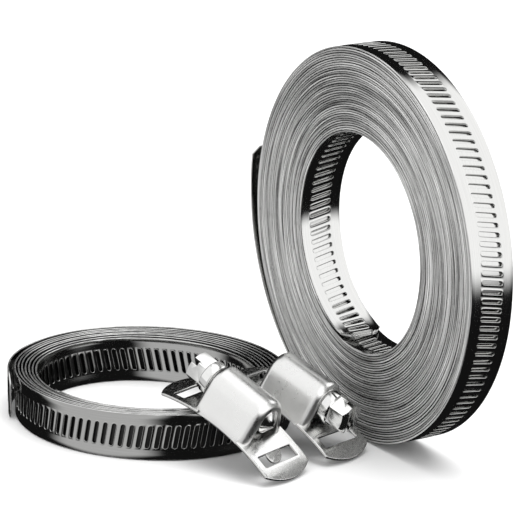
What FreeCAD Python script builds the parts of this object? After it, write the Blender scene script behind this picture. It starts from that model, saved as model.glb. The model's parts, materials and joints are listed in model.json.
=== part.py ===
# Cut-to-length worm-drive hose clamp kit: two coils of slotted steel band, one
# standing on its rim and one lying flat, and two screw fasteners leaning on the
# flat coil. Units are millimetres, +Z is up, and the origin is on the floor
# below the middle of the whole display.
import FreeCAD, Part
import math
import os
from FreeCAD import Placement, Rotation, Vector

doc = FreeCAD.newDocument("HoseClampKit")
sheet = doc.addObject("Spreadsheet::Sheet", "Dimensions")

# ---------------------------------------------------------------------------
# Driving dimensions
# ---------------------------------------------------------------------------
DIMENSIONS = [
    # the steel band
    ("band_width", 12.7), ("band_thickness", 0.57), ("corner_clip", 2.2),
    ("slot_pitch", 2.45), ("slot_length", 6.2), ("slot_width", 1.15), ("slot_lean", 11.0),
    # coil standing on its rim
    ("large_radius", 53.0), ("large_turns", 37), ("large_gap", 0.055), ("large_bias", 0.012),
    ("large_spring", 3.0), ("large_x", 60.66), ("large_y", -14.87), ("large_heading", 59.53),
    # coil lying flat
    ("small_flat_radius", 44.0), ("small_end_radius", 33.4), ("small_spring", 0.86),
    # saddle plate of a fastener
    ("saddle_half_length", 21.9), ("saddle_half_width", 8.57), ("saddle_end_rise", 2.65),
    ("saddle_thickness", 0.8), ("arch_radius", 60.0), ("notch_depth", 1.3),
    ("passage_near", 13.5), ("passage_far", 17.0), ("passage_width", 12.9),
    ("tongue_width", 5.6), ("tongue_length", 3.6), ("tongue_drop", 38.0),
    # housing pressed over the screw
    ("axis_height", 4.6), ("housing_half_length", 9.2), ("housing_radius", 5.8),
    ("housing_foot", 7.7), ("housing_wall", 0.65), ("housing_shoulder", 1.9),
    ("lug_length", 9.0), ("lug_reach", 2.3), ("skirt_level", -1.4), ("mouth_half_width", 5.6),
    # worm screw
    ("thread_radius", 4.3), ("thread_root", 3.2), ("thread_reach", 8.0),
    ("neck_radius", 3.8), ("pilot_radius", 3.4), ("running_gap", 0.1),
    ("collar_radius", 4.25), ("collar_start", 9.5), ("head_start", 12.4), ("head_end", 17.3),
    ("across_flats", 7.0), ("driver_slot_width", 1.3), ("driver_slot_depth", 1.7),
    ("tip_radius", 2.4), ("tip_start", 9.6), ("tip_end", 11.3),
    ("thread_root_half", 0.72), ("thread_crest_half", 0.26), ("thread_runout", 0.9),
]
# Tightening of the winding over half a turn on its four sides, and extra steps at named arcs
FLAT_COIL_DROPS, FLAT_COIL_ARCS = (0.36, 0.27, 0.71, 0.79), 33
FLAT_COIL_CENTRE, FLAT_COIL_TRIMS = Vector(4.6, 5.2, 0), (76.0, 30.0)
TALL_COIL_TRIMS, TALL_COIL_INNER_LIFT = (78.0, 11.0), 0.8
# Punched slots: quarter arcs that show them, and the plain length left at each end
SLOTTED_ARCS, OUTER_END_PLAIN, INNER_END_PLAIN = 5, 6.0, 4.0
# Each fastener: where its crown sits, its screw direction and its outward direction
LEFT_POSE = (Vector(23.93, -39.94, 13.18), Vector(-0.7079, 0.5886, 0.3904), Vector(0.2973, -0.2531, 0.9206))
RIGHT_POSE = (Vector(39.45, -24.33, 12.03), Vector(0.7121, -0.6182, -0.3327), Vector(0.2742, -0.1914, 0.9424))
for row, (alias, value) in enumerate(DIMENSIONS, start=1):
    sheet.set("A%d" % row, alias)
    sheet.set("B%d" % row, str(value))
    sheet.setAlias("B%d" % row, alias)
doc.recompute()


def dim(alias):
    """Value of a driving dimension."""
    return float(sheet.get(alias))


def bound(feature, **properties):
    """Tie a feature's properties to expressions of the sheet's dimensions."""
    for name, expression in properties.items():
        words = expression.split(" ")
        feature.setExpression(name, " ".join("Dimensions." + w if w[0].isalpha() else w for w in words))
    return feature


def unit(degrees):
    """Unit vector in the XY plane at an angle from +X."""
    return Vector(math.cos(math.radians(degrees)), math.sin(math.radians(degrees)), 0)


# ---------------------------------------------------------------------------
# Small builders for sketches and features
# ---------------------------------------------------------------------------
XY = Placement()
YZ = Placement(Vector(0, 0, 0), Rotation(Vector(1, 1, 1), 120))      # sketch x -> Y, sketch y -> Z
XZ = Placement(Vector(0, 0, 0), Rotation(Vector(1, 0, 0), 90))       # sketch x -> X, sketch y -> Z


def sketch(name, geometry, plane=XY):
    """Sketch holding ready-placed lines and arcs."""
    item = doc.addObject("Sketcher::SketchObject", name)
    item.Placement = plane
    item.addGeometry(geometry, False)
    return item


def extrusion(name, base, length, symmetric=False):
    """Straight extrusion of a sketch; the length is an expression."""
    item = doc.addObject("Part::Extrusion", name)
    item.Base = base
    item.DirMode = "Normal"
    item.Solid = True
    item.Symmetric = symmetric
    item.FaceMakerClass = "Part::FaceMakerBullseye"
    return bound(item, LengthFwd=length)


def cut(name, base, tool):
    item = doc.addObject("Part::Cut", name)
    item.Base, item.Tool = base, tool
    return item


def common(name, base, tool):
    item = doc.addObject("Part::Common", name)
    item.Base, item.Tool = base, tool
    return item


def fuse(name, shapes):
    item = doc.addObject("Part::MultiFuse", name)
    item.Shapes = shapes
    return item


def polygon(points):
    """Closed run of straight lines through (x, y) points."""
    corners = [Vector(x, y, 0) for x, y in points]
    return [Part.LineSegment(a, b) for a, b in zip(corners, corners[1:] + corners[:1])]


def arc(centre, radius, start, end):
    """Arc drawn anticlockwise between two angles in degrees."""
    circle = Part.Circle(centre, Vector(0, 0, 1), radius)
    return Part.ArcOfCircle(circle, math.radians(start), math.radians(end))


# ---------------------------------------------------------------------------
# Coils of band. A coil is a chain of quarter arcs; where two arcs meet, the
# centre steps along the shared normal, so the strip is smooth all the way.
# ---------------------------------------------------------------------------
class Strip:
    """Centres, radii and angles of the quarter arcs of one coil."""

    def __init__(self, radii, centre, first_quarter, turning, start, end):
        self.arcs = []
        for k, radius in enumerate(radii):
            begin = 90.0 * (first_quarter + turning * k)
            if k:
                centre = centre + unit(begin) * (radii[k - 1] - radius)
            self.arcs.append([centre, radius, begin, begin + 90.0 * turning])
        self.turning = turning
        self.arcs[0][2] += turning * start
        self.arcs[-1][3] -= turning * end

    def outline(self):
        """Edge lines of the strip seen along its axis."""
        thickness = dim("band_thickness")
        lines = []
        for centre, radius, begin, finish in self.arcs:
            low, high = min(begin, finish), max(begin, finish)
            lines += [arc(centre, radius, low, high), arc(centre, radius - thickness, low, high)]
        for centre, radius, angle in (self.arcs[0][:3], self.arcs[-1][:2] + [self.arcs[-1][3]]):
            ray = unit(angle)
            lines.append(Part.LineSegment(centre + ray * radius, centre + ray * (radius - thickness)))
        return lines

    def stations(self, arcs, skip):
        """Slot positions, one slot pitch apart, along some of the arcs."""
        travelled = -skip
        for centre, radius, begin, finish in arcs:
            length = radius * math.radians(abs(finish - begin))
            while travelled <= length - 0.5:
                if travelled >= 0:
                    share = travelled / length
                    yield centre, radius, begin + (finish - begin) * share
                travelled += dim("slot_pitch")
            travelled -= length


def slot_cutter(name):
    """Round-ended slot tool, long side along Z, cutting along +X from x = 0."""
    half, end = dim("slot_width") / 2, (dim("slot_length") - dim("slot_width")) / 2
    lines = [
        Part.LineSegment(Vector(half, -end, 0), Vector(half, end, 0)),
        arc(Vector(0, end, 0), half, 0, 180),
        Part.LineSegment(Vector(-half, end, 0), Vector(-half, -end, 0)),
        arc(Vector(0, -end, 0), half, 180, 360)]
    return extrusion(name, sketch(name + "_outline", lines, YZ), "band_thickness * 2")


def coil(label, strip, place):
    """Band coil: the wound strip with its slots and its clipped end corners."""
    wound = extrusion(label + "_strip", sketch(label + "_winding", strip.outline()), "band_width")
    tool = slot_cutter(label + "_slot")
    doc.recompute()
    thickness, width = dim("band_thickness"), dim("band_width")
    lean = Placement(Vector(0, 0, width / 2), Rotation(Vector(1, 0, 0), -dim("slot_lean")))
    cutters = []

    def punch(arcs, skip, depth, outward):
        for centre, radius, angle in strip.stations(arcs, skip):
            spin = Placement(centre, Rotation(Vector(0, 0, 1), angle))
            start = radius - depth if outward else radius - 3 * thickness + depth
            reach = Placement(Vector(start, 0, 0), Rotation())
            cutters.append(tool.Shape.transformed((spin * reach * lean).toMatrix(), True))

    # each tool stops in the gap between two turns, so only the showing turn is punched
    punch(strip.arcs[:SLOTTED_ARCS], OUTER_END_PLAIN, thickness + 0.02, True)
    punch(strip.arcs[-SLOTTED_ARCS:], INNER_END_PLAIN, thickness + 0.003, False)
    clip, spare, proud = dim("corner_clip"), 0.2, 0.3
    first, last = strip.arcs[0], strip.arcs[-1]
    for (centre, radius, _, _), angle, side in (
            (first, first[2], strip.turning), (last, last[3], -strip.turning)):
        for level, rise in ((0, 1), (width, -1)):
            corner = Part.Face(Part.makePolygon([
                Vector(0, -side * spare, level - rise * spare), Vector(0, side * clip, level - rise * spare),
                Vector(0, -side * spare, level + rise * clip),
                Vector(0, -side * spare, level - rise * spare)]))
            block = corner.extrude(Vector(thickness + proud, 0, 0))
            block.Placement = Placement(centre + unit(angle) * (radius - thickness - 0.01),
                                        Rotation(Vector(0, 0, 1), angle))
            cutters.append(block)
    tools = doc.addObject("Part::Feature", label + "_punches")
    tools.Shape = Part.makeCompound(cutters)
    item = cut(label, wound, tools)
    item.Placement = place
    return item


def spaced_radii(first, second, drops, count, extra):
    """Radii of the arcs: each is the one two before it less a repeating drop."""
    radii = [first, second]
    for k in range(count - 2):
        radii.append(radii[k] - drops[k % 4] - extra.get(k, 0.0))
    return radii


pitch = dim("band_thickness") + dim("large_gap")
bias = dim("large_bias")
large_count = int(dim("large_turns")) * 4 + 2
sprung_radius = dim("large_radius") + dim("large_spring")
large_strip = Strip(
    spaced_radii(sprung_radius, sprung_radius - pitch / 4,
                 (pitch / 2, pitch / 2 - bias, pitch / 2 + bias, pitch / 2 + bias), large_count,
                 {0: dim("large_spring"), 1: dim("large_spring"), large_count - 3: TALL_COIL_INNER_LIFT}),
    Vector(0, dim("large_spring"), 0), 1, 1, *TALL_COIL_TRIMS)
small_strip = Strip(
    spaced_radii(dim("small_flat_radius"), dim("small_end_radius"), FLAT_COIL_DROPS, FLAT_COIL_ARCS,
                 {1: dim("small_spring")}),
    FLAT_COIL_CENTRE, 3, -1, *FLAT_COIL_TRIMS)

heading = math.radians(dim("large_heading"))
axis_out = Vector(-math.sin(heading), -math.cos(heading), 0)
stand = Rotation(Vector(math.cos(heading), -math.sin(heading), 0), Vector(0, 0, 1), axis_out, "ZXY")
small = coil("small_band_coil", small_strip, Placement())
large = coil("large_band_coil", large_strip, Placement())
doc.recompute()
rest_height = -large.Shape.BoundBox.YMin
large.Placement = Placement(
    Vector(dim("large_x"), dim("large_y"), rest_height) - axis_out * (dim("band_width") / 2), stand)


# ---------------------------------------------------------------------------
# One fastener. Local frame: X along the screw towards its head, Z away from the
# hose, origin on the crown of the saddle.
# ---------------------------------------------------------------------------
def saddle_plate(tag, place):
    half, side = dim("saddle_half_length"), dim("saddle_half_width")
    square, rise = half - dim("saddle_end_rise"), dim("saddle_end_rise")
    end_radius = (side ** 2 + rise ** 2) / (2 * rise)
    spread = math.degrees(math.asin(side / end_radius))
    notch, waist = dim("lug_length") / 2 + 0.15, side - dim("notch_depth")
    lines = []
    for sign in (-1, 1):
        corners = [(-square, side), (-notch, side), (-notch, waist),
                   (notch, waist), (notch, side), (square, side)]
        run = [Vector(x, sign * y, 0) for x, y in corners]
        lines += [Part.LineSegment(a, b) for a, b in zip(run, run[1:])]
    lines += [
        arc(Vector(half - end_radius, 0, 0), end_radius, -spread, spread),
        arc(Vector(end_radius - half, 0, 0), end_radius, 180 - spread, 180 + spread)]
    near, far, reach = dim("passage_near"), dim("passage_far"), dim("passage_width") / 2
    for sign in (-1, 1):
        lines += polygon([(sign * near, -reach), (sign * far, -reach),
                          (sign * far, reach), (sign * near, reach)])
    plan = extrusion(tag + "_plan", sketch(tag + "_plan_lines", lines), "saddle_half_width * 2", True)
    radius, thick = dim("arch_radius"), dim("saddle_thickness")
    sweep = math.degrees(math.asin((half + 1) / radius))
    crown = Vector(0, -radius, 0)
    rim = [arc(crown, radius, 90 - sweep, 90 + sweep), arc(crown, radius - thick, 90 - sweep, 90 + sweep)]
    for angle in (90 - sweep, 90 + sweep):
        rim.append(Part.LineSegment(crown + unit(angle) * radius, crown + unit(angle) * (radius - thick)))
    arch = extrusion(tag + "_arch", sketch(tag + "_arch_lines", rim, XZ), "saddle_half_width * 2 + 2", True)
    plate = common(tag + "_plate", plan, arch)
    wide, long = dim("tongue_width") / 2, dim("tongue_length")
    outline = [
        Part.LineSegment(Vector(0, -wide, 0), Vector(0, wide, 0)),
        Part.LineSegment(Vector(0, wide, 0), Vector(wide - long, wide, 0)),
        arc(Vector(wide - long, 0, 0), wide, 90, 270),
        Part.LineSegment(Vector(wide - long, -wide, 0), Vector(0, -wide, 0))]
    tongue = extrusion(tag + "_tongue", sketch(tag + "_tongue_lines", outline), "saddle_thickness * 0.8")
    sag = radius - math.sqrt(radius ** 2 - near ** 2)
    tongue.Placement = Placement(Vector(-near + 0.45, 0, -sag - thick * 0.8),
                                 Rotation(Vector(0, 1, 0), -dim("tongue_drop")))
    item = fuse(tag + "_saddle", [plate, tongue])
    item.Placement = place
    return item


def housing_section(radius, foot, level):
    """Arched section round the screw axis with straight splayed legs."""
    centre, toe = Vector(0, dim("axis_height"), 0), Vector(foot, 0, 0)
    ray = toe - centre
    lean = math.degrees(math.atan2(ray.y, ray.x)) + math.degrees(math.acos(radius / ray.Length))
    touch = centre + unit(lean) * radius
    low = toe + (toe - touch) * (-level / touch.y)
    far_touch, far_low = Vector(-touch.x, touch.y, 0), Vector(-low.x, low.y, 0)
    return [arc(centre, radius, lean, 180 - lean), Part.LineSegment(touch, low),
            Part.LineSegment(low, far_low), Part.LineSegment(far_low, far_touch)], lean


def rounded_tunnel(name, lines, length, shoulder):
    """Extruded arched section with its two end rims rounded over."""
    body = extrusion(name + "_block", sketch(name + "_section", lines, YZ), length, True)
    doc.recompute()
    ends = []
    for number, edge in enumerate(body.Shape.Edges, start=1):
        box = edge.BoundBox
        if box.XLength < 1e-6 and box.ZMax > 0.1:
            ends.append((number, shoulder, shoulder))
    item = doc.addObject("Part::Fillet", name)
    item.Base = body
    item.Edges = ends
    return item


def screw_housing(tag, place):
    wall, radius, foot = dim("housing_wall"), dim("housing_radius"), dim("housing_foot")
    level = dim("skirt_level")
    outer_lines, lean = housing_section(radius, foot, level)
    inner_lines, _ = housing_section(radius - wall, foot - wall / math.cos(math.radians(lean)), level)
    outer = rounded_tunnel(tag + "_outer", outer_lines, "housing_half_length * 2", dim("housing_shoulder"))
    inner = rounded_tunnel(tag + "_inner", inner_lines, "( housing_half_length - housing_wall ) * 2",
                           dim("housing_shoulder") - wall)
    shell = cut(tag + "_shell", outer, inner)
    # round holes in the end walls for the screw, open below for the band
    wide, brow, under = dim("mouth_half_width"), 0.9, level - 0.2
    mouths = []
    for end, hole in ((-1, dim("pilot_radius")), (1, dim("neck_radius"))):
        hole += dim("running_gap")
        high = dim("axis_height")
        run = [(-hole, high), (-wide, brow), (-wide, under), (wide, under), (wide, brow), (hole, high)]
        lines = [arc(Vector(0, high, 0), hole, 0, 180)] + polygon(run)[:-1]
        name = tag + ("_head_mouth" if end > 0 else "_tip_mouth")
        plane = Placement(Vector(dim("housing_half_length") * end, 0, 0), YZ.Rotation)
        mouths.append(extrusion(name, sketch(name + "_lines", lines, plane), "housing_wall * 4", True))
    opened = cut(tag + "_opened", shell, fuse(tag + "_mouths", mouths))
    # crimp lugs: the legs carry on down, round the edges of the saddle and under it
    side, bottom = dim("saddle_half_width") - dim("notch_depth") + 0.05, -dim("saddle_thickness") - 0.24
    outside, slope, join = side + wall, math.tan(math.radians(lean)), 0.9
    skin = foot - 0.02                          # just inside the leg's outer face
    lugs = []
    for sign, word in ((1, "left"), (-1, "right")):
        points = [(side - 0.15, 0.03), (side, 0.03), (side, bottom), (side - dim("lug_reach"), bottom),
                  (side - dim("lug_reach"), bottom - wall), (side + wall / 2, bottom - wall),
                  (outside, bottom - wall / 2), (outside, (skin - outside) / slope), (skin, 0.0),
                  (skin - slope * join, join), (skin - slope * join - wall * 0.7, join)]
        name = tag + "_lug_" + word
        strap = extrusion(name, sketch(name + "_lines", polygon([(sign * y, z) for y, z in points]), YZ),
                          "lug_length", True)
        lugs.append(strap)
    item = fuse(tag + "_housing", [cut(tag + "_footed", opened, saddle_room(tag))] + lugs)
    item.Placement = place
    return item


def saddle_room(tag):
    """Space kept for the saddle under the housing: its arch, a hair larger."""
    radius, thick = dim("arch_radius"), dim("saddle_thickness")
    reach = dim("housing_half_length") + 3
    sweep = math.degrees(math.asin(reach / radius))
    crown = Vector(0, -radius, 0)
    high, low = radius + 0.02, radius - thick - 0.02
    rim = [arc(crown, high, 90 - sweep, 90 + sweep), arc(crown, low, 90 - sweep, 90 + sweep)]
    for angle in (90 - sweep, 90 + sweep):
        rim.append(Part.LineSegment(crown + unit(angle) * high, crown + unit(angle) * low))
    return extrusion(tag + "_saddle_room", sketch(tag + "_room_lines", rim, XZ),
                     "saddle_half_width * 2 + 0.1", True)


def worm_screw(tag, place):
    neck, pilot, root = dim("neck_radius"), dim("pilot_radius"), dim("thread_root")
    reach, collar, chamfer = dim("thread_reach"), dim("collar_radius"), 0.3
    tip, start, stop = dim("tip_start"), dim("collar_start"), dim("head_start")
    profile = [
        (-dim("tip_end"), 0), (-tip, dim("tip_radius")), (-tip + 2 * chamfer, pilot),
        (-reach, pilot), (-reach, root), (reach, root), (reach, neck), (start, neck),
        (start, collar - chamfer), (start + chamfer, collar), (stop - chamfer, collar),
        (stop, collar - chamfer), (stop, 0)]
    core = doc.addObject("Part::Revolution", tag + "_core")
    core.Source = sketch(tag + "_core_profile", polygon(profile))
    core.Axis = Vector(1, 0, 0)
    core.Solid = True
    core.FaceMakerClass = "Part::FaceMakerBullseye"
    helix = doc.addObject("Part::Helix", tag + "_lead")
    bound(helix, Pitch="slot_pitch", Radius="thread_root", Height="( thread_reach - thread_runout ) * 2")
    sunk, major = root - 0.15, dim("thread_radius")
    wide, thin = dim("thread_root_half"), dim("thread_crest_half")
    section = doc.addObject("Part::Feature", tag + "_tooth")
    section.Shape = Part.makePolygon([Vector(sunk, 0, -wide), Vector(major, 0, -thin), Vector(major, 0, thin),
                                      Vector(sunk, 0, wide), Vector(sunk, 0, -wide)])
    section.Placement = Placement(Vector(-reach + dim("thread_runout"), 0, 0), Rotation(Vector(0, 1, 0), 90))
    helix.Placement = section.Placement
    thread = doc.addObject("Part::Sweep", tag + "_thread")
    thread.Sections = [section]
    thread.Spine = (helix, ["Edge1"])
    thread.Solid = True
    thread.Frenet = True
    hexagon = doc.addObject("Part::Prism", tag + "_hexagon")
    hexagon.Polygon = 6
    bound(hexagon, Circumradius="across_flats / 1.7320508", Height="head_end - head_start + 0.1")
    hexagon.Placement = Placement(Vector(dim("head_start") - 0.1, 0, 0), Rotation(Vector(0, 1, 0), 90))
    dome = doc.addObject("Part::Cone", tag + "_chamfer")
    dome.Placement = hexagon.Placement
    bound(dome, Radius2="across_flats / 2 - 0.25", Height="head_end - head_start + 0.1",
          Radius1="across_flats / 2 + ( head_end - head_start ) * 1.7")
    head = common(tag + "_head", hexagon, dome)
    slot = doc.addObject("Part::Box", tag + "_driver_slot")
    slot.Placement = Placement(
        Vector(dim("head_end") - dim("driver_slot_depth"), -dim("driver_slot_width") / 2, -5), Rotation())
    bound(slot, Length="driver_slot_depth + 1", Width="driver_slot_width")
    slot.Height = 10
    item = cut(tag + "_screw", fuse(tag + "_turned", [core, thread, head]), slot)
    item.Placement = place
    return item


def fastener(tag, crown, along, out):
    """Saddle, housing and screw of one fastener, with local X along the screw and local Z outwards."""
    place = Placement(crown, Rotation(along, Vector(), out, "XZY"))
    axis = Placement(Vector(0, 0, dim("axis_height")), Rotation())
    return [saddle_plate(tag, place), screw_housing(tag, place), worm_screw(tag, place * axis)]


parts = [small, large] + fastener("left_fastener", *LEFT_POSE) + fastener("right_fastener", *RIGHT_POSE)
doc.recompute()

# bring the middle of the display to the origin
span = FreeCAD.BoundBox()
for item in parts:
    span.add(item.Shape.optimalBoundingBox(False))
to_origin = Placement(Vector(-span.Center.x, -span.Center.y, -span.ZMin), Rotation())
for item in parts:
    item.Placement = to_origin * item.Placement
doc.recompute()
print("moved by", to_origin.Base)

for item in doc.Objects:
    if "Invalid" in item.State or "Error" in item.State:
        raise RuntimeError("%s failed: %s" % (item.Name, item.State))

os.makedirs("parts", exist_ok=True)
for item in parts:
    item.Label = item.Name
    shape = item.Shape
    if shape.isNull() or not shape.isValid() or len(shape.Solids) != 1:
        raise RuntimeError("%s is not one valid solid (%d)" % (item.Label, len(shape.Solids)))
    box = shape.BoundBox
    print("%-22s %10.2f mm3  x %.2f..%.2f  y %.2f..%.2f  z %.2f..%.2f" % (
        item.Label, shape.Volume, box.XMin, box.XMax, box.YMin, box.YMax, box.ZMin, box.ZMax))
    shape.exportStep("parts/%s.step" % item.Label)
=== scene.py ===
# Cut-to-length hose clamp kit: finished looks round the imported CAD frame.
# Metres, +Z up, origin on the floor below the middle of the display.
import json
import math

import bmesh
import bpy
import numpy as np
from mathutils import Matrix, Vector


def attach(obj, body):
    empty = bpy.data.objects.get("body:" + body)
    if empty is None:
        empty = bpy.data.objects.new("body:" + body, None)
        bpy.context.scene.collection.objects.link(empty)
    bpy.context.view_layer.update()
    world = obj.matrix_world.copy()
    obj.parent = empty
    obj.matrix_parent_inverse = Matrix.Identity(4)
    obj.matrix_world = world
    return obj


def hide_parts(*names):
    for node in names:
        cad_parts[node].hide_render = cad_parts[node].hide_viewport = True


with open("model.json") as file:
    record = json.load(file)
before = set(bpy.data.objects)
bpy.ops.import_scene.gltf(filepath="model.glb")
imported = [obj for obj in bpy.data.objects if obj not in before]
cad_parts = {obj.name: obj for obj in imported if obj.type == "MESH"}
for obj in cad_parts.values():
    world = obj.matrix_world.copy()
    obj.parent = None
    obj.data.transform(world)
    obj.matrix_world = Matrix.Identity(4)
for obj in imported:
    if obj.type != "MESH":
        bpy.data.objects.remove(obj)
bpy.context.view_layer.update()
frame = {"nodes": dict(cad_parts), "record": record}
scene = bpy.context.scene
MM = 0.001                                       # lengths below are in millimetres unless they say otherwise

# ---------------------------------------------------------------------------
# Where things stand in the frame, in millimetres
# ---------------------------------------------------------------------------
SHIFT = Vector((-26.685, 12.383, 0.0))          # display centring, from the design
BAND_WIDTH, BAND_THICKNESS, CORNER_CLIP = 12.7, 0.43, 2.2
SLOT_PITCH, SLOT_LENGTH, SLOT_WIDTH, SLOT_LEAN = 2.45, 6.2, 1.15, math.radians(11.0)
SLOTTED_ARCS, OUTER_END_PLAIN, INNER_END_PLAIN = 5, 6.0, 4.0     # as in the design
LARGE_PLACE, LARGE_HEADING = Vector((60.66, -14.87, 0.0)), math.radians(59.53)


# ---------------------------------------------------------------------------
# Band coils
# ---------------------------------------------------------------------------
def unit(degrees):
    """Direction in the plane of a coil."""
    return np.array((math.cos(math.radians(degrees)), math.sin(math.radians(degrees))))


def spaced_radii(first, second, drops, count, extra):
    """Radii of quarter arcs: each is the one two before it less a repeating drop."""
    radii = [first, second]
    for k in range(count - 2):
        radii.append(radii[k] - drops[k % 4] - extra.get(k, 0.0))
    return radii


class Strip:
    """A wound strip as a chain of quarter arcs, walked by length along its outer face."""

    def __init__(self, radii, centre, first_quarter, turning, start, end):
        centre, self.arcs, self.turning = np.array(centre, float), [], turning
        for k, radius in enumerate(radii):
            begin = 90.0 * (first_quarter + turning * k)
            if k:
                centre = centre + unit(begin) * (radii[k - 1] - radius)
            self.arcs.append([centre, radius, begin, begin + 90.0 * turning])
        self.arcs[0][2] += turning * start
        self.arcs[-1][3] -= turning * end
        lengths = [r * math.radians(abs(b - a)) for _, r, a, b in self.arcs]
        self.starts = np.concatenate([[0.0], np.cumsum(lengths)])
        self.length = self.starts[-1]
        self.centres = np.array([a[0] for a in self.arcs])
        self.radii = np.array([a[1] for a in self.arcs])
        self.begins = np.radians([a[2] for a in self.arcs])

    def place(self, s, height, depth):
        """Local xyz of points at a length along, a height across and a depth under the outer face."""
        s = np.asarray(s, float)
        k = np.clip(np.searchsorted(self.starts, s, side="right") - 1, 0, len(self.arcs) - 1)
        angle = self.begins[k] + self.turning * (s - self.starts[k]) / self.radii[k]
        reach = self.radii[k] - depth
        return np.stack([self.centres[k, 0] + np.cos(angle) * reach,
                         self.centres[k, 1] + np.sin(angle) * reach, height + 0 * s], -1)

    def slots(self, first_arc, last_arc, skip):
        """Lengths at which slots are punched along some of the arcs."""
        low, high = self.starts[first_arc] + skip, self.starts[last_arc]
        return np.arange(low, high - 0.5, SLOT_PITCH)


HALF = BAND_WIDTH / 2
END_STEPS = (0.0, 0.7, 1.5, CORNER_CLIP)         # columns across a clipped end corner, from its tip
SLOTTED_STEP, PLAIN_STEP, LONG_GAP = 2.5, 2.6, 40.0      # spacing of columns, and when few rows are enough
FADE_START, FADE_LENGTH = 30.0, 200.0            # the wobble fades out towards both ends of the strip
FLAT_FACE, EDGE_FACE, HIDDEN_FACE = 0, 1, 2      # material slots of a coil
EDGE_ROUND = 0.2
SLOT_HALF, SLOT_STRAIGHT = SLOT_WIDTH / 2, (SLOT_LENGTH - SLOT_WIDTH) / 2
TURNS = (-75, -45, -15)                          # round ends of a slot, in degrees
RING_UP = ([(SLOT_HALF * math.cos(math.radians(a)), SLOT_HALF * math.sin(math.radians(a)), -SLOT_STRAIGHT)
            for a in TURNS]
           + [(SLOT_HALF, 0.0, h) for h in (-1.6, -0.55, 0.55, 1.6)]
           + [(SLOT_HALF * math.cos(math.radians(a)), -SLOT_HALF * math.sin(math.radians(a)), SLOT_STRAIGHT)
              for a in reversed(TURNS)])
SLOT_ROWS = [-3.65, -3.25, -2.72, -1.6, -0.55, 0.55, 1.6, 2.72, 3.25, 3.65]
FULL_ROWS = [-(HALF - EDGE_ROUND), -4.9] + SLOT_ROWS + [4.9, HALF - EDGE_ROUND]
PLAIN_ROWS = [-(HALF - EDGE_ROUND), HALF - EDGE_ROUND]
EDGE_STEPS = [(math.sin(math.radians(a)) * EDGE_ROUND, (1 - math.cos(math.radians(a))) * EDGE_ROUND)
              for a in (45, 90)]
EDGE_STEPS += [(rise, BAND_THICKNESS - depth) for rise, depth in reversed(EDGE_STEPS)]
# rings round a slot from the flat face over the raised burr and down its wall: (spread, depth)
BURR = [(0.24, 0.0), (0.16, -0.03), (0.09, -0.06), (0.03, -0.035), (0.0, 0.06)]


def section(rows):
    """Closed outline of the band's cross-section: (height, depth), outer face first, edges rounded."""
    top = rows[-1]
    ring = [(h, 0.0) for h in rows] + [(top + rise, depth) for rise, depth in EDGE_STEPS]
    ring += [(h, BAND_THICKNESS) for h in reversed(rows)]
    return ring + [(-top - rise, BAND_THICKNESS - depth) for rise, depth in EDGE_STEPS]


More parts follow.
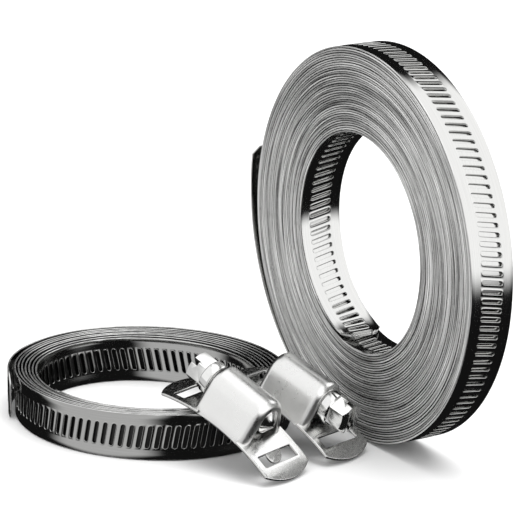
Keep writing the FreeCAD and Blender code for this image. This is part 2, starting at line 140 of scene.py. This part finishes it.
def band_coil(name, strip, outer_slots, inner_slots, wobble, seed):
    """Mesh of a wound band with raised slot rims; the lift up and down its width is at most the wobble."""
    rng = np.random.default_rng(seed)
    waves = [(rng.uniform(0.5, 1.6) / 60.0, rng.uniform(0, 6.283), rng.uniform(0.5, 1.0)) for _ in range(9)]
    verts, faces, kinds = [], [], []
    count = 0

    def add(s, height, depth):
        nonlocal count
        s, height = np.asarray(s, float), np.asarray(height, float)
        ends = np.minimum(s, strip.length - s)
        shear = np.tan(SLOT_LEAN) * height * strip.turning * np.clip((ends - 2.5) / 8.0, 0, 1)
        inward = np.minimum(np.clip((s - FADE_START) / FADE_LENGTH, 0, 1),
                            np.clip((strip.length - FADE_START - s) / FADE_LENGTH, 0, 1))
        lift = sum(a * np.sin(f * s + p) for f, p, a in waves) * wobble / 3.0 * inward
        verts.append(strip.place(s + shear, height + HALF + lift, np.asarray(depth, float)))
        count += len(s)
        return list(range(count - len(s), count))

    def column(s, rows):
        ring = section(rows)
        clip = max(0.0, CORNER_CLIP - min(s, strip.length - s))
        squeeze = (HALF - clip) / HALF
        return add([s] * len(ring), [h * squeeze for h, _ in ring], [d for _, d in ring])

    def bridge(a, b):
        """Faces between two columns with the same rows."""
        n, rows = len(a), (len(a) - 8) // 2
        for i in range(n):
            j = (i + 1) % n
            faces.append((a[i], a[j], b[j], b[i]))
            # plain columns belong to hidden turns and take the coil's third material: painted shade on the
            # flat coil, plain steel on the standing one
            flat = HIDDEN_FACE if rows == len(PLAIN_ROWS) else FLAT_FACE
            kinds.append(EDGE_FACE if rows - 1 <= i < rows + 4 or i >= 2 * rows + 3 else flat)

    def step(a, b):
        """Faces between a column with all rows and one with only the edge rows, either way round."""
        full, plain, flip = (a, b, False) if len(a) > len(b) else (b, a, True)
        n = (len(full) - 8) // 2
        pairs = [(full[0:n], plain[0:2]), (full[n + 4:2 * n + 4], plain[6:8])]
        strips = [(full[n - 1:n + 5], plain[1:7]), ([*full[2 * n + 3:], full[0]], [*plain[7:], plain[0]])]
        for long, short in pairs:
            faces.append(tuple(long) + (short[1], short[0]))
            kinds.append(FLAT_FACE)
        for one, two in strips:
            for i in range(len(one) - 1):
                faces.append((one[i], one[i + 1], two[i + 1], two[i]))
                kinds.append(EDGE_FACE)

    def slot_cell(s, a, b, outside, inside):
        """Faces between two full columns round one slot."""
        rows = len(FULL_ROWS)
        low, high = 2, rows - 3                       # rows of the slot's lower and upper corners
        n = 2 * rows + 8
        rings = []
        profile = [(w, d if outside else max(d, 0.0)) for w, d in BURR]
        profile += [(w, BAND_THICKNESS - (d if inside else max(d, 0.0))) for w, d in reversed(BURR)]
        for spread, depth in profile:
            grow = (SLOT_HALF + spread) / SLOT_HALF
            right = [(x * grow, z + y * grow) for x, y, z in RING_UP]
            ring = right + [(-x, z) for x, z in reversed(right)]
            rings.append(add([s + x for x, _ in ring], [z for _, z in ring], [depth] * len(ring)))
        for one, two in zip(rings, rings[1:]):
            for i in range(len(one)):
                j = (i + 1) % len(one)
                faces.append((one[i], one[j], two[j], two[i]))
                kinds.append(FLAT_FACE)
        half = len(RING_UP)
        for side, ring in ((0, rings[0]), (1, rings[-1])):
            def row(column_ids, j):
                return column_ids[j] if side == 0 else column_ids[n - 5 - j]
            right, left = ring[:half], list(reversed(ring[half:]))
            for j in range(rows - 1):
                if j < low or j >= high:
                    faces.append((row(a, j), row(a, j + 1), row(b, j + 1), row(b, j)))
                    kinds.append(FLAT_FACE)
                else:
                    faces.append((right[j - low], right[j - low + 1], row(b, j + 1), row(b, j)))
                    faces.append((left[j - low], left[j - low + 1], row(a, j + 1), row(a, j)))
                    kinds.extend((FLAT_FACE, FLAT_FACE))
            faces.append((left[0], right[0], row(b, low), row(a, low)))
            faces.append((left[-1], right[-1], row(b, high), row(a, high)))
            kinds.extend((FLAT_FACE, FLAT_FACE))
        for i in list(range(rows - 1, rows + 4)) + list(range(2 * rows + 3, n)):
            j = (i + 1) % n
            faces.append((a[i], a[j], b[j], b[i]))
            kinds.append(EDGE_FACE)

    spans = []
    for centres, outside, inside in ((outer_slots, True, False), (inner_slots, False, True)):
        spans.append((centres[0] - SLOT_PITCH / 2, centres[-1] + SLOT_PITCH / 2, centres, outside, inside))
    plan = [("full", s) for s in END_STEPS]
    here = CORNER_CLIP
    for low, high, centres, outside, inside in spans:
        gap = low - here
        if gap > LONG_GAP:
            plan.append(("full", here + 1.0))
            steps = int((gap - 2.0) / PLAIN_STEP)
            plan += [("plain", here + 2.0 + (gap - 3.0) * i / steps) for i in range(steps + 1)]
            plan.append(("full", low))
        else:
            steps = max(1, int(gap / SLOTTED_STEP))
            plan += [("full", here + gap * (i + 1) / steps) for i in range(steps)]
        for centre in centres:
            plan.append(("slot", centre, outside, inside))
            plan.append(("full", centre + SLOT_PITCH / 2))
        here = high
    tail = strip.length - CORNER_CLIP - here
    steps = max(1, int(tail / SLOTTED_STEP))
    plan += [("full", here + tail * (i + 1) / steps) for i in range(steps)]
    plan += [("full", strip.length - CORNER_CLIP + x) for x in END_STEPS[1:]]
    last = waiting = None
    for entry in plan:
        if entry[0] == "slot":
            waiting = entry
            continue
        ids = column(entry[1], FULL_ROWS if entry[0] == "full" else PLAIN_ROWS)
        if last is None:
            faces.append(tuple(ids))
            kinds.append(EDGE_FACE)
        elif waiting:
            slot_cell(waiting[1], last, ids, waiting[2], waiting[3])
            waiting = None
        elif len(last) == len(ids):
            bridge(last, ids)
        else:
            step(last, ids)
        last = ids
    faces.append(tuple(last))
    kinds.append(EDGE_FACE)
    mesh = bpy.data.meshes.new(name)
    mesh.from_pydata((np.concatenate(verts) * MM).tolist(), [], faces)
    mesh.polygons.foreach_set("material_index", kinds)
    mesh.polygons.foreach_set("use_smooth", [True] * len(kinds))
    mesh.update()
    return mesh


# ---------------------------------------------------------------------------
# Steel finishes
# ---------------------------------------------------------------------------
def steel(name, tint, roughness, grain_scale, grain=0.05, bump=0.02, stain_and_gap_shade=0.12, metal=1.0, winding=False):
    """Polished or satin steel with drawn grain and faint mottling; stain is how dark the grain goes, and on
    the slit edges that darkening is painted shade of the gaps between turns.
    """
    material = bpy.data.materials.new(name)
    material.use_nodes = True
    tree = material.node_tree
    tree.nodes.clear()
    new, link = tree.nodes.new, tree.links.new
    output, shader = new("ShaderNodeOutputMaterial"), new("ShaderNodeBsdfPrincipled")
    link(shader.outputs["BSDF"], output.inputs["Surface"])
    shader.inputs["Metallic"].default_value = metal
    where = new("ShaderNodeTexCoord")
    stretch = new("ShaderNodeMapping")
    stretch.inputs["Scale"].default_value = grain_scale
    if winding:                     # grain that follows the turns: distance from the axis, then direction; its dark rings are painted shade of the gaps between turns
        flat, radius, bearing = (new("ShaderNodeVectorMath") for _ in range(3))
        split, join = new("ShaderNodeSeparateXYZ"), new("ShaderNodeCombineXYZ")
        flat.operation, radius.operation, bearing.operation = "MULTIPLY", "LENGTH", "NORMALIZE"
        flat.inputs[1].default_value = (1, 1, 0)
        link(where.outputs["Object"], flat.inputs[0])
        link(flat.outputs["Vector"], radius.inputs[0])
        link(flat.outputs["Vector"], bearing.inputs[0])
        link(bearing.outputs["Vector"], split.inputs["Vector"])
        link(radius.outputs["Value"], join.inputs["X"])
        link(split.outputs["X"], join.inputs["Y"])
        link(split.outputs["Y"], join.inputs["Z"])
        link(join.outputs["Vector"], stretch.inputs["Vector"])
    else:
        link(where.outputs["Object"], stretch.inputs["Vector"])
    streaks = new("ShaderNodeTexNoise")
    streaks.inputs["Scale"].default_value = 1.0
    streaks.inputs["Detail"].default_value = 4.0
    streaks.inputs["Roughness"].default_value = 0.6
    link(stretch.outputs["Vector"], streaks.inputs["Vector"])
    mottle = new("ShaderNodeTexNoise")
    mottle.inputs["Scale"].default_value = 160.0
    mottle.inputs["Detail"].default_value = 5.0
    link(where.outputs["Object"], mottle.inputs["Vector"])

    def ramp(source, low, high):
        node = new("ShaderNodeMapRange")
        node.inputs["From Min"].default_value, node.inputs["From Max"].default_value = 0.3, 0.7
        node.inputs["To Min"].default_value, node.inputs["To Max"].default_value = low, high
        link(source, node.inputs["Value"])
        return node.outputs["Result"]

    rough = new("ShaderNodeMath")
    rough.operation = "ADD"
    link(ramp(streaks.outputs["Fac"], roughness - grain, roughness + grain), rough.inputs[0])
    link(ramp(mottle.outputs["Fac"], -grain * 0.6, grain * 0.6), rough.inputs[1])
    link(rough.outputs["Value"], shader.inputs["Roughness"])
    colour = new("ShaderNodeMix")
    colour.data_type = "RGBA"
    colour.inputs["A"].default_value = (*[c * (1 - stain_and_gap_shade) for c in tint], 1)
    colour.inputs["B"].default_value = (*tint, 1)
    link(ramp(streaks.outputs["Fac"], 0.0, 1.0), colour.inputs["Factor"])
    link(colour.outputs["Result"], shader.inputs["Base Color"])
    relief = new("ShaderNodeBump")
    relief.inputs["Strength"].default_value = bump
    relief.inputs["Distance"].default_value = 0.0002
    link(streaks.outputs["Fac"], relief.inputs["Height"])
    link(relief.outputs["Normal"], shader.inputs["Normal"])
    return material


flat_band = steel("flat_band_steel", (0.62, 0.62, 0.61), 0.09, (60, 60, 9000), grain=0.03)
# Slit edges: the winding grain with a high stain paints dark rings across the coil faces, painted shade of
# the gaps between turns over random tone.
flat_edge = steel("flat_band_slit_edge", (0.86, 0.86, 0.85), 0.24, (2400, 2, 2), grain=0.06, bump=0.1,
                  stain_and_gap_shade=0.55, metal=0.8, winding=True)
tall_band = steel("standing_band_steel", (0.64, 0.64, 0.63), 0.10, (60, 60, 9000), grain=0.03)
tall_edge = steel("standing_band_slit_edge", (0.94, 0.94, 0.93), 0.3, (1900, 1.5, 1.5), grain=0.07, bump=0.1,
                  stain_and_gap_shade=0.88, metal=0.35, winding=True)
# painted shade: the flat coil's hidden turns, seen only through its slots, are coloured near black to stand
# for the shade between turns, so its slots look black
painted_shade_band = steel("between_turns_painted_shade", (0.05, 0.05, 0.05), 0.4, (60, 60, 9000), grain=0.03)
plate_steel = steel("saddle_satin_steel", (0.84, 0.84, 0.83), 0.24, (900, 900, 900), grain=0.05, bump=0.05,
                    stain_and_gap_shade=0.06)
hood_steel = steel("housing_polished_steel", (0.86, 0.86, 0.85), 0.3, (500, 500, 500), grain=0.04, bump=0.03,
                   stain_and_gap_shade=0.05)
screw_steel = steel("screw_bright_plate", (0.86, 0.86, 0.85), 0.12, (700, 700, 700), grain=0.03, bump=0.02,
                    stain_and_gap_shade=0.06)

# ---------------------------------------------------------------------------
# Coils in place of their CAD nodes
# ---------------------------------------------------------------------------
SMALL_RADII = spaced_radii(44.0, 33.4, (0.36, 0.27, 0.71, 0.79), 33, {1: 0.86})
small_strip = Strip(SMALL_RADII, (4.6, 5.2), 3, -1, 76.0, 30.0)
PITCH, BIAS, SPRING, LARGE_RADIUS, LARGE_ARCS = 0.625, 0.012, 3.0, 53.0, 150
LARGE_RADII = spaced_radii(
    LARGE_RADIUS + SPRING, LARGE_RADIUS + SPRING - PITCH / 4,
    (PITCH / 2, PITCH / 2 - BIAS, PITCH / 2 + BIAS, PITCH / 2 + BIAS), LARGE_ARCS,
    {0: SPRING, 1: SPRING, LARGE_ARCS - 3: 0.8})
large_strip = Strip(LARGE_RADII, (0.0, SPRING), 1, 1, 78.0, 11.0)


def dress(node, strip, body, matrix, materials, wobble, seed):
    """Finished band coil standing for a CAD coil."""
    count = len(strip.arcs)
    outer = strip.slots(0, SLOTTED_ARCS, OUTER_END_PLAIN)
    inner = strip.slots(count - SLOTTED_ARCS, count, INNER_END_PLAIN)
    mesh = band_coil(node + "_band", strip, outer, inner, wobble, seed)
    coil = bpy.data.objects.new(node + "_band", mesh)
    scene.collection.objects.link(coil)
    for material in materials:
        mesh.materials.append(material)
    bm = bmesh.new()
    bm.from_mesh(mesh)
    bmesh.ops.recalc_face_normals(bm, faces=bm.faces)
    bm.to_mesh(mesh)
    bm.free()
    coil.matrix_world = matrix
    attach(coil, body)
    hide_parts(node)


def display(point):
    """A point of the design, moved to where the centred display has it."""
    return Vector(point) + SHIFT


small_matrix = Matrix.Translation(SHIFT * MM)
axis_out = Vector((-math.sin(LARGE_HEADING), -math.cos(LARGE_HEADING), 0))
lowest = min(p[1] for p in large_strip.place(np.linspace(0, 500, 4000), 0.0, 0.0))
origin = display(LARGE_PLACE) + Vector((0, 0, -lowest)) - axis_out * HALF
large_matrix = Matrix((
    (math.cos(LARGE_HEADING), 0, axis_out.x, origin.x * MM),
    (-math.sin(LARGE_HEADING), 0, axis_out.y, origin.y * MM),
    (0, 1, 0, origin.z * MM),
    (0, 0, 0, 1)))
# the flat coil's third material is painted shade on its hidden turns
dress("small_band_coil", small_strip, "flat_coil", small_matrix,
      (flat_band, flat_edge, painted_shade_band), 0.16, 3)
dress("large_band_coil", large_strip, "standing_coil", large_matrix,
      (tall_band, tall_edge, tall_band), 0.24, 5)

# ---------------------------------------------------------------------------
# Fasteners in place of their CAD nodes
# ---------------------------------------------------------------------------
# Screws: collar and head are drawn a little wider than in CAD and the driver slot deeper, as the photograph
# shows them. The neck keeps its size, because it runs in the housing's mouth.
COLLAR_START, COLLAR_EDGE, NECK_CLEAR, HEAD_SPREAD = 9.45, 0.2, 3.87, 1.09
SLOT_FLOOR, SLOT_FLOOR_REACH, SLOT_DEEPER = 15.6, 0.1, 0.6
SCREW_ROUNDING, SCREW_SHARP, MERGE = 0.1, math.radians(30), 1e-7
SCREW_TURNED = {"left_fastener": -45, "right_fastener": 0}       # degrees from the CAD pose
BODY_OF = {node: body for body, members in frame["record"]["behaviour"]["bodies"].items() for node in members}


def softened(node, material, width, pose, turned):
    """Copy of a CAD screw's mesh with its hard edges rounded over, turned about its own axis."""
    mesh = frame["nodes"][node].data.copy()
    axis = pose @ Matrix.Translation(Vector((0, 0, AXIS_HEIGHT)) * MM)
    place = frame["nodes"][node].matrix_world
    mesh.transform(axis.inverted() @ place)
    for vertex in mesh.vertices:
        x = vertex.co.x / MM
        reach = math.hypot(vertex.co.y, vertex.co.z) / MM
        if x > COLLAR_START and (reach > NECK_CLEAR or x > COLLAR_START + COLLAR_EDGE):
            vertex.co.y, vertex.co.z = vertex.co.y * HEAD_SPREAD, vertex.co.z * HEAD_SPREAD
        if SLOT_FLOOR - SLOT_FLOOR_REACH < x < SLOT_FLOOR + SLOT_FLOOR_REACH:
            vertex.co.x = (SLOT_FLOOR - SLOT_DEEPER) * MM
    mesh.transform(place.inverted() @ axis @ Matrix.Rotation(math.radians(turned), 4, "X"))
    mesh.name = node + "_finished"
    mesh.materials.clear()
    mesh.materials.append(material)
    bm = bmesh.new()
    bm.from_mesh(mesh)
    bmesh.ops.remove_doubles(bm, verts=bm.verts, dist=1e-7)
    bmesh.ops.dissolve_limit(bm, angle_limit=math.radians(0.6), verts=bm.verts, edges=bm.edges)
    for face in bm.faces:
        face.smooth = True
        face.material_index = 0
    bm.to_mesh(mesh)
    bm.free()
    piece = bpy.data.objects.new(mesh.name, mesh)
    scene.collection.objects.link(piece)
    bevel = piece.modifiers.new("rounding", "BEVEL")
    bevel.limit_method, bevel.angle_limit = "ANGLE", SCREW_SHARP
    bevel.width, bevel.segments = width * MM, 3
    bevel.miter_outer, bevel.harden_normals = "MITER_ARC", True
    bevel.use_clamp_overlap = True
    bpy.context.view_layer.update()
    done = bpy.data.meshes.new_from_object(piece.evaluated_get(bpy.context.evaluated_depsgraph_get()))
    piece.modifiers.clear()
    piece.data = done
    done.name = mesh.name
    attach(piece, BODY_OF[node])
    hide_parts(node)
    return piece


def finish(name, mesh, matrix, node, material, bevel=0.0, solid=0.0):
    """Object for a fastener's own mesh, thickened and edge-rounded, standing for a CAD node."""
    piece = bpy.data.objects.new(name, mesh)
    scene.collection.objects.link(piece)
    if solid:
        wall = piece.modifiers.new("wall", "SOLIDIFY")
        wall.thickness, wall.offset, wall.use_even_offset = solid * MM, -1, True
    if bevel:
        rounding = piece.modifiers.new("rounding", "BEVEL")
        rounding.limit_method, rounding.angle_limit = "ANGLE", math.radians(50)
        rounding.width, rounding.segments = bevel * MM, 2
    if solid or bevel:
        bpy.context.view_layer.update()
        done = bpy.data.meshes.new_from_object(piece.evaluated_get(bpy.context.evaluated_depsgraph_get()))
        piece.modifiers.clear()
        piece.data = done
        done.name = name
    piece.data.materials.clear()
    piece.data.materials.append(material)
    piece.data.polygons.foreach_set("use_smooth", [True] * len(piece.data.polygons))
    piece.data.set_sharp_from_angle(angle=math.radians(42))
    piece.matrix_world = matrix
    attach(piece, BODY_OF[node])
    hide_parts(node)
    return piece


AXIS_HEIGHT, HOOD_HALF, HOOD_RADIUS, HOOD_FOOT, HOOD_WALL = 4.6, 9.2, 5.8, 7.7, 0.62
ARCH = 60.0
SADDLE_HALF, SADDLE_SIDE, SADDLE_RISE, SADDLE_THICK = 21.9, 8.57, 2.65, 0.8
LEAN = math.atan2(-AXIS_HEIGHT, HOOD_FOOT) + math.acos(HOOD_RADIUS / math.hypot(AXIS_HEIGHT, HOOD_FOOT))
SKIRT_HALF, HEM_HALF, SKIRT_POINTS, HEM_POINTS = 7.0, 4.5, 3, 4
HOOD_STATIONS = (-6.0, -5.2, -4.5, -3.0, -1.5, 0.0, 1.5, 3.0, 4.5, 5.2, 6.0, 7.0)
EDGE_LOW, HEM_LOW = -SADDLE_THICK, -SADDLE_THICK - 0.24 - HOOD_WALL


def arch_drop(x):
    """How far the saddle's arch falls below its crown at a distance along it."""
    return math.sqrt(ARCH ** 2 - x ** 2) - ARCH


def hood_side(inset, x):
    """Right half of the hood's section from the crown down: (y, z) points, always the same number."""
    reach = HOOD_RADIUS - inset
    points = [(reach * math.sin(a), AXIS_HEIGHT + reach * math.cos(a))
              for a in np.linspace(0, math.pi / 2 - LEAN, 15)]
    foot = arch_drop(x) + 0.02
    top_y, top_z = points[-1]
    slope = math.tan(LEAN)
    for share in np.linspace(0, 1, 8)[1:]:
        z = top_z + (foot - top_z) * share
        points.append((top_y + (top_z - z) * slope, z))
    side = points[-1][0]
    for share in (0.35, 0.8, 1.0):
        z = foot + (EDGE_LOW - 0.25) * share
        points.append((side + (foot - z) * slope * 0.8, z))
    outer = points[-1][0]
    points += [(outer - 0.18, HEM_LOW + 0.18 + arch_drop(x)), (outer - 0.5, HEM_LOW + arch_drop(x)),
               (outer - 1.6, HEM_LOW + arch_drop(x)), (outer - 2.7, HEM_LOW + arch_drop(x))]
    return points


def mouth_side(hole, like):
    """Edge of the opening in an end wall, point for point with a section."""
    points = [(hole * math.sin(a), AXIS_HEIGHT + hole * math.cos(a))
              for a in np.linspace(0, math.pi / 2 - LEAN, 15)]
    y0, z0 = points[-1]
    for y, z in like[15:]:
        share = min(1.0, max(0.0, (z0 - z) / (z0 - 0.9)))
        points.append((min(y0 + (5.1 - y0) * share, y - 0.2), z))
    return points


def hood_mesh(name):
    columns = []
    for end, hole, shoulder in ((-1, 3.52, 2.1), (1, 3.92, 1.8)):
        rim = []
        for a in np.linspace(90, 0, 8):
            a = math.radians(a)
            x = end * (HOOD_HALF - shoulder + shoulder * math.sin(a))
            rim.append((x, hood_side(shoulder * (1 - math.cos(a)), x)))
        x = end * HOOD_HALF
        wall = [(x, mouth_side(hole, rim[0][1]))]
        columns.append(wall + rim)
    middle = [(x, hood_side(0.0, x)) for x in HOOD_STATIONS]
    columns = columns[0] + middle + columns[1][::-1]
    verts, faces = [], []
    half = len(columns[0][1])
    for x, side in columns:
        verts += [(x, -y, z) for y, z in reversed(side)] + [(x, y, z) for y, z in side[1:]]
    width = 2 * half - 1
    # how many points of a half section carry faces: the hood alone, with its skirt, and with the hem under it
    hemmed, skirted, bare = half, half - HEM_POINTS, half - HEM_POINTS - SKIRT_POINTS
    for c in range(len(columns) - 1):
        reach = max(abs(columns[c][0]), abs(columns[c + 1][0]))
        rows = bare if reach > SKIRT_HALF + 0.15 else skirted if reach > HEM_HALF + 0.01 else hemmed
        for r in range(half - rows, half + rows - 2):
            a = c * width + r
            faces.append((a, a + 1, a + width + 1, a + width))
    mesh = bpy.data.meshes.new(name)
    mesh.from_pydata([(x * MM, y * MM, z * MM) for x, y, z in verts], [], faces)
    bm = bmesh.new()
    bm.from_mesh(mesh)
    bmesh.ops.delete(bm, geom=[v for v in bm.verts if not v.link_faces], context="VERTS")
    bmesh.ops.recalc_face_normals(bm, faces=bm.faces)
    if sum(f.normal.z * f.calc_area() for f in bm.faces) < 0:
        bmesh.ops.reverse_faces(bm, faces=bm.faces)
    bm.to_mesh(mesh)
    bm.free()
    return mesh


def plate(name, loops, thickness, rounding):
    """Flat sheet between outlines, top at z = 0, with rolled edges, cut across into narrow strips."""
    curve = bpy.data.curves.new(name, "CURVE")
    curve.dimensions, curve.fill_mode = "2D", "BOTH"
    curve.extrude, curve.bevel_depth = (thickness / 2 - rounding) * MM, rounding * MM
    curve.bevel_resolution, curve.offset = 2, -rounding * MM
    for loop in loops:
        spline = curve.splines.new("POLY")
        spline.points.add(len(loop) - 1)
        for point, (x, y) in zip(spline.points, loop):
            point.co = (x * MM, y * MM, 0, 1)
        spline.use_cyclic_u = True
    item = bpy.data.objects.new(name, curve)
    scene.collection.objects.link(item)
    bpy.context.view_layer.update()
    mesh = bpy.data.meshes.new_from_object(item.evaluated_get(bpy.context.evaluated_depsgraph_get()))
    bpy.data.objects.remove(item)
    bpy.data.curves.remove(curve)
    bm = bmesh.new()
    bm.from_mesh(mesh)
    bmesh.ops.remove_doubles(bm, verts=bm.verts, dist=1e-7)
    for x in np.arange(-21.0, 21.1, 1.5):
        bmesh.ops.bisect_plane(bm, geom=bm.verts[:] + bm.edges[:] + bm.faces[:], dist=1e-8,
                               plane_co=(x * MM, 0, 0), plane_no=(1, 0, 0))
    for v in bm.verts:
        v.co.z -= thickness / 2 * MM
    return mesh, bm


def rounded_box(x0, x1, half, corner):
    """Outline of a box from x0 to x1 and half its width either side, with round corners."""
    loop = []
    for cx, cy, start in ((x1 - corner, half - corner, 0), (x0 + corner, half - corner, 90),
                          (x0 + corner, -half + corner, 180), (x1 - corner, -half + corner, 270)):
        for a in (0, 30, 60, 90):
            turn = math.radians(start + a)
            loop.append((cx + corner * math.cos(turn), cy + corner * math.sin(turn)))
    return loop


def saddle_mesh(name):
    """Arched plate with notched sides and two band openings, and the tongue bent down at one of them."""
    end = (SADDLE_SIDE ** 2 + SADDLE_RISE ** 2) / (2 * SADDLE_RISE)
    spread = math.degrees(math.asin(SADDLE_SIDE / end))
    outline = []
    for turn in (0, 180):
        sign = 1 if turn == 0 else -1
        for a in np.linspace(-spread, spread, 25):
            outline.append((sign * (SADDLE_HALF - end + end * math.cos(math.radians(a))),
                            sign * end * math.sin(math.radians(a))))
        notch, waist = SKIRT_HALF + 0.15, 7.27
        outline += [(sign * notch, sign * SADDLE_SIDE), (sign * notch, sign * waist),
                    (-sign * notch, sign * waist), (-sign * notch, sign * SADDLE_SIDE)]
    holes = [rounded_box(13.5, 17.0, 6.45, 0.4), rounded_box(-17.0, -13.5, 6.45, 0.4)]
    mesh, bm = plate(name, [outline] + holes, SADDLE_THICK, 0.16)
    for v in bm.verts:
        turn, reach = math.asin(v.co.x / MM / ARCH), ARCH + v.co.z / MM
        v.co = Vector((reach * math.sin(turn), v.co.y / MM, reach * math.cos(turn) - ARCH)) * MM
    tab = [(0.3, -2.8)] + [(-0.8 - 2.8 * math.sin(math.radians(a)), -2.8 * math.cos(math.radians(a)))
                           for a in np.linspace(0, 180, 17)] + [(0.3, 2.8)]
    tongue, extra = plate(name + "_tongue", [tab], 0.64, 0.14)
    place = (Matrix.Translation(Vector((-13.05, 0, arch_drop(13.5) - SADDLE_THICK * 0.8 + 0.64)) * MM)
             @ Matrix.Rotation(math.radians(-38), 4, "Y"))
    extra.transform(place)
    extra.to_mesh(tongue)
    extra.free()
    bm.from_mesh(tongue)
    bpy.data.meshes.remove(tongue)
    bm.to_mesh(mesh)
    bm.free()
    return mesh


def fastener_matrix(crown, along, out):
    """Placement of a fastener: X along its screw, Z away from what it sits on."""
    x = Vector(along).normalized()
    z = (Vector(out) - x * x.dot(Vector(out))).normalized()
    y = z.cross(x)
    spot = display(crown) * MM
    return Matrix(((x.x, y.x, z.x, spot.x), (x.y, y.y, z.y, spot.y), (x.z, y.z, z.z, spot.z), (0, 0, 0, 1)))


POSES = {"left_fastener": ((23.93, -39.94, 13.18), (-0.7079, 0.5886, 0.3904), (0.2973, -0.2531, 0.9206)),
         "right_fastener": ((39.45, -24.33, 12.03), (0.7121, -0.6182, -0.3327), (0.2742, -0.1914, 0.9424))}
for tag, pose in POSES.items():
    matrix = fastener_matrix(*pose)
    finish(tag + "_hood", hood_mesh(tag + "_hood"), matrix, tag + "_housing", hood_steel,
           bevel=0.1, solid=HOOD_WALL)
    finish(tag + "_plate", saddle_mesh(tag + "_plate"), matrix, tag + "_saddle", plate_steel)
    softened(tag + "_screw", screw_steel, SCREW_ROUNDING, matrix, SCREW_TURNED[tag])

# ---------------------------------------------------------------------------
# Floor, light and camera
# ---------------------------------------------------------------------------
def plain(name, colour, rough=0.9):
    material = bpy.data.materials.new(name)
    material.use_nodes = True
    shader = material.node_tree.nodes["Principled BSDF"]
    shader.inputs["Base Color"].default_value = (*colour, 1)
    shader.inputs["Roughness"].default_value = rough
    return material


floor_mesh = bpy.data.meshes.new("floor")
floor_mesh.from_pydata([(-4, -4, 0), (4, -4, 0), (4, 4, 0), (-4, 4, 0)], [], [(0, 1, 2, 3)])
floor_mesh.materials.append(plain("floor_paint", (0.93, 0.93, 0.93)))
floor = bpy.data.objects.new("floor", floor_mesh)
floor.location.z = -0.0002                       # metres; clears the flat coil's wavy lower edge
scene.collection.objects.link(floor)
floor.visible_glossy = False
floor.visible_shadow = False


def softbox(name, centre, aim, width, height, radiance):
    """Rectangular soft light facing a point; radiance is how bright it looks in a mirror."""
    light = bpy.data.lights.new(name, "AREA")
    light.shape, light.size, light.size_y = "RECTANGLE", width, height
    light.energy = radiance * math.pi * width * height
    box = bpy.data.objects.new(name, light)
    box.location = centre
    box.rotation_euler = (Vector(aim) - Vector(centre)).to_track_quat("-Z", "Y").to_euler()
    box.visible_camera = False
    scene.collection.objects.link(box)
    return box


# matt surfaces only, in metres
overhead = softbox("overhead", (0.35, 0.0, 1.3), (0, 0, 0), 1.3, 1.3, 3.0)
overhead.visible_glossy = False

# Matt surfaces and the camera see an even white world. Polished steel mirrors a dark room with three pale
# panels, fixed in the world: upper right, left front and upper left. Each is ((azimuth, elevation), how many
# degrees it reaches from its middle, brightness).
PANELS = [((-25.0, 45.0), 57.0, 1.8), ((218.0, 15.0), 52.0, 0.8), ((212.0, 42.0), 44.0, 1.3)]
PANEL_FADE, ROOM = 8, 0.012                      # degrees over which a panel's edge fades, and the dark room
world = bpy.data.worlds.new("studio")
scene.world = world
world.use_nodes = True
world.cycles.sampling_method = "NONE"
tree = world.node_tree
tree.nodes.clear()
out = tree.nodes.new("ShaderNodeOutputWorld")
mix = tree.nodes.new("ShaderNodeMixShader")
rays = tree.nodes.new("ShaderNodeLightPath")
soft = tree.nodes.new("ShaderNodeBackground")
soft.inputs["Color"].default_value = (1, 1, 1, 1)
soft.inputs["Strength"].default_value = 1.0
room = tree.nodes.new("ShaderNodeBackground")
way = tree.nodes.new("ShaderNodeTexCoord")
level = None
for (azimuth, elevation), reach, brightness in PANELS:
    az, el = math.radians(azimuth), math.radians(elevation)
    aim = (math.cos(az) * math.cos(el), math.sin(az) * math.cos(el), math.sin(el))
    dot = tree.nodes.new("ShaderNodeVectorMath")
    dot.operation = "DOT_PRODUCT"
    dot.inputs[1].default_value = aim
    tree.links.new(way.outputs["Generated"], dot.inputs[0])
    fall = tree.nodes.new("ShaderNodeMapRange")
    fall.interpolation_type = "SMOOTHSTEP"
    fall.inputs["From Min"].default_value = math.cos(math.radians(reach + PANEL_FADE))
    fall.inputs["From Max"].default_value = math.cos(math.radians(reach - PANEL_FADE))
    fall.inputs["To Min"].default_value = ROOM
    fall.inputs["To Max"].default_value = brightness
    tree.links.new(dot.outputs["Value"], fall.inputs["Value"])
    if level is None:
        level = fall.outputs["Result"]
    else:
        most = tree.nodes.new("ShaderNodeMath")
        most.operation = "MAXIMUM"
        tree.links.new(level, most.inputs[0])
        tree.links.new(fall.outputs["Result"], most.inputs[1])
        level = most.outputs["Value"]
tree.links.new(level, room.inputs["Strength"])
tree.links.new(rays.outputs["Is Glossy Ray"], mix.inputs["Fac"])
tree.links.new(soft.outputs["Background"], mix.inputs[1])
tree.links.new(room.outputs["Background"], mix.inputs[2])
tree.links.new(mix.outputs["Shader"], out.inputs["Surface"])

# camera solved from the rims of the two coils, for an image 520 pixels wide
target, distance, pitch = Vector((29.494, 79.315, 20.0)) + SHIFT, 888.43, 0.288
FOCAL_PIXELS, IMAGE_PIXELS, SENSOR = 3000, 520, 36.0
camera_data = bpy.data.cameras.new("camera")
camera_data.sensor_width = SENSOR
camera_data.lens = FOCAL_PIXELS / IMAGE_PIXELS * SENSOR
camera_data.clip_start, camera_data.clip_end = 0.05, 20.0
camera = bpy.data.objects.new("camera", camera_data)
camera.location = (target - Vector((0, math.cos(pitch), -math.sin(pitch))) * distance) * MM
camera.rotation_euler = (math.pi / 2 - pitch, 0, 0)
scene.collection.objects.link(camera)
scene.camera = camera
scene.view_settings.view_transform = "Standard"
